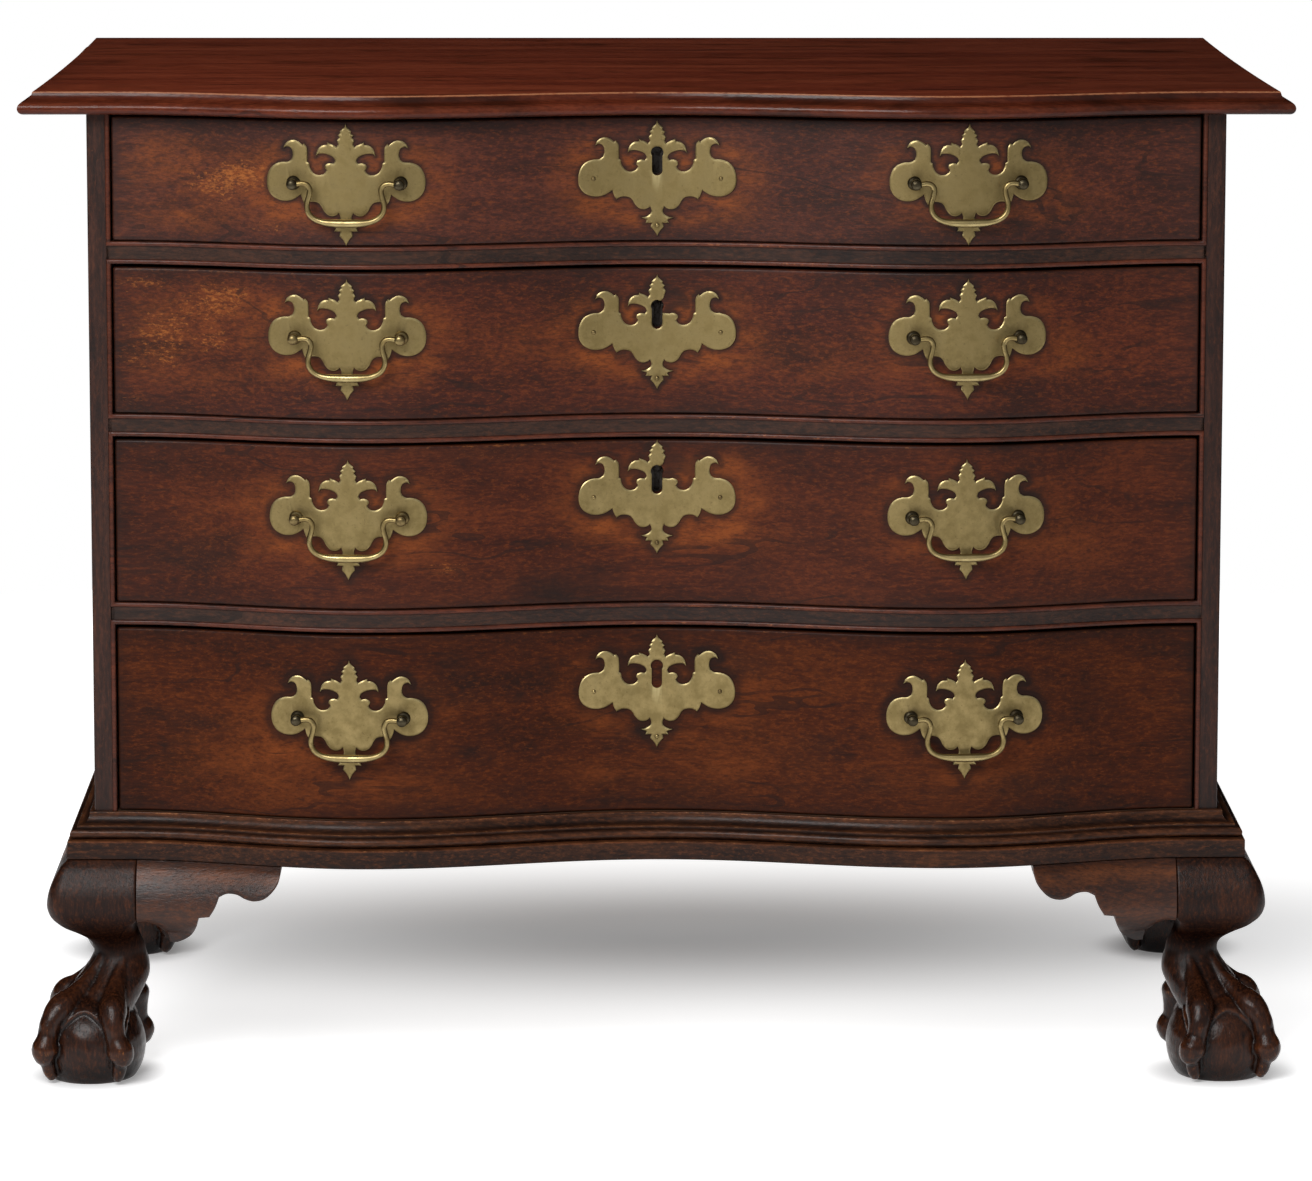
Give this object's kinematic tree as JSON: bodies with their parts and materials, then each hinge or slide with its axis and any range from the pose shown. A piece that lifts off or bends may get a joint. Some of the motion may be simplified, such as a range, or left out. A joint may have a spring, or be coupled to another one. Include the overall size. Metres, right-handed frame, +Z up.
{
  "type": "chest of drawers",
  "caption": "Chest of graduated drawers with an oxbow front, moulded top, claw-and-ball feet and brass bail pulls; the drawers slide, the bails swing and the lock bolts rise.",
  "frame": {"origin": "on the floor, under the middle of the overall box", "axes": "+X to the right as seen from the front, +Y to the back, +Z up; the drawers open along -Y"},
  "size_m": [1.016, 0.5696, 0.8029],
  "materials": {
    "mahogany": "old varnished mahogany, satin, darkened at the edges",
    "white_pine": "unvarnished aged softwood",
    "brass": "aged cast brass, satin",
    "wrought_iron": "dark forged iron"
  },
  "bodies": {
    "case": {"back_board_lower": "white_pine", "back_board_upper": "white_pine", "base_moulding_front": "mahogany", "base_moulding_left": "mahogany", "base_moulding_right": "mahogany", "case_bottom": "white_pine", "case_side_left": "mahogany", "case_side_right": "mahogany", "drawer_blade_1": "mahogany", "drawer_blade_2": "mahogany", "drawer_blade_3": "mahogany", "knee_bracket_front_left": "mahogany", "knee_bracket_front_left_side": "mahogany", "knee_bracket_front_right": "mahogany", "knee_bracket_front_right_side": "mahogany", "knee_bracket_rear_left_side": "mahogany", "knee_bracket_rear_right_side": "mahogany", "leg_front_left": "mahogany", "leg_front_right": "mahogany", "leg_rear_left": "mahogany", "leg_rear_right": "mahogany", "top_board": "mahogany"},
    "drawer_1": {"drawer_1_box": "white_pine", "drawer_1_escutcheon": "brass", "drawer_1_floor": "white_pine", "drawer_1_front": "mahogany", "drawer_1_lock": "wrought_iron", "drawer_1_pull_plate_left": "brass", "drawer_1_pull_plate_right": "brass"},
    "drawer_1_bail_left": {"drawer_1_bail_left": "brass"},
    "drawer_1_bail_right": {"drawer_1_bail_right": "brass"},
    "drawer_1_bolt": {"drawer_1_bolt": "wrought_iron"},
    "drawer_2": {"drawer_2_box": "white_pine", "drawer_2_escutcheon": "brass", "drawer_2_floor": "white_pine", "drawer_2_front": "mahogany", "drawer_2_lock": "wrought_iron", "drawer_2_pull_plate_left": "brass", "drawer_2_pull_plate_right": "brass"},
    "drawer_2_bail_left": {"drawer_2_bail_left": "brass"},
    "drawer_2_bail_right": {"drawer_2_bail_right": "brass"},
    "drawer_2_bolt": {"drawer_2_bolt": "wrought_iron"},
    "drawer_3": {"drawer_3_box": "white_pine", "drawer_3_escutcheon": "brass", "drawer_3_floor": "white_pine", "drawer_3_front": "mahogany", "drawer_3_lock": "wrought_iron", "drawer_3_pull_plate_left": "brass", "drawer_3_pull_plate_right": "brass"},
    "drawer_3_bail_left": {"drawer_3_bail_left": "brass"},
    "drawer_3_bail_right": {"drawer_3_bail_right": "brass"},
    "drawer_3_bolt": {"drawer_3_bolt": "wrought_iron"},
    "drawer_4": {"drawer_4_box": "white_pine", "drawer_4_escutcheon": "brass", "drawer_4_floor": "white_pine", "drawer_4_front": "mahogany", "drawer_4_pull_plate_left": "brass", "drawer_4_pull_plate_right": "brass"},
    "drawer_4_bail_left": {"drawer_4_bail_left": "brass"},
    "drawer_4_bail_right": {"drawer_4_bail_right": "brass"}
  },
  "joints": [
    {"name": "drawer_1_slide", "type": "slide", "parent": "case", "child": "drawer_1", "axis": [0, -1, 0], "range_m": [0, 0.33]},
    {"name": "drawer_1_bail_left_hinge", "type": "hinge", "parent": "drawer_1", "child": "drawer_1_bail_left", "pos_m": [-0.247, -0.2734, 0.7325], "axis": [-0.9979, 0.0641, 0], "range_deg": [0, 100]},
    {"name": "drawer_1_bail_right_hinge", "type": "hinge", "parent": "drawer_1", "child": "drawer_1_bail_right", "pos_m": [0.247, -0.2734, 0.7325], "axis": [-0.9979, -0.0641, 0], "range_deg": [0, 100]},
    {"name": "drawer_1_bolt_slide", "type": "slide", "parent": "drawer_1", "child": "drawer_1_bolt", "axis": [0, 0, 1], "range_m": [0, 0.008]},
    {"name": "drawer_2_slide", "type": "slide", "parent": "case", "child": "drawer_2", "axis": [0, -1, 0], "range_m": [0, 0.33]},
    {"name": "drawer_2_bail_left_hinge", "type": "hinge", "parent": "drawer_2", "child": "drawer_2_bail_left", "pos_m": [-0.247, -0.2734, 0.6089], "axis": [-0.9979, 0.0641, 0], "range_deg": [0, 100]},
    {"name": "drawer_2_bail_right_hinge", "type": "hinge", "parent": "drawer_2", "child": "drawer_2_bail_right", "pos_m": [0.247, -0.2734, 0.6089], "axis": [-0.9979, -0.0641, 0], "range_deg": [0, 100]},
    {"name": "drawer_2_bolt_slide", "type": "slide", "parent": "drawer_2", "child": "drawer_2_bolt", "axis": [0, 0, 1], "range_m": [0, 0.008]},
    {"name": "drawer_3_slide", "type": "slide", "parent": "case", "child": "drawer_3", "axis": [0, -1, 0], "range_m": [0, 0.33]},
    {"name": "drawer_3_bail_left_hinge", "type": "hinge", "parent": "drawer_3", "child": "drawer_3_bail_left", "pos_m": [-0.247, -0.2734, 0.4638], "axis": [-0.9979, 0.0641, 0], "range_deg": [0, 100]},
    {"name": "drawer_3_bail_right_hinge", "type": "hinge", "parent": "drawer_3", "child": "drawer_3_bail_right", "pos_m": [0.247, -0.2734, 0.4638], "axis": [-0.9979, -0.0641, 0], "range_deg": [0, 100]},
    {"name": "drawer_3_bolt_slide", "type": "slide", "parent": "drawer_3", "child": "drawer_3_bolt", "axis": [0, 0, 1], "range_m": [0, 0.008]},
    {"name": "drawer_4_slide", "type": "slide", "parent": "case", "child": "drawer_4", "axis": [0, -1, 0], "range_m": [0, 0.33]},
    {"name": "drawer_4_bail_left_hinge", "type": "hinge", "parent": "drawer_4", "child": "drawer_4_bail_left", "pos_m": [-0.247, -0.2734, 0.3013], "axis": [-0.9979, 0.0641, 0], "range_deg": [0, 100]},
    {"name": "drawer_4_bail_right_hinge", "type": "hinge", "parent": "drawer_4", "child": "drawer_4_bail_right", "pos_m": [0.247, -0.2734, 0.3013], "axis": [-0.9979, -0.0641, 0], "range_deg": [0, 100]}
  ]
}
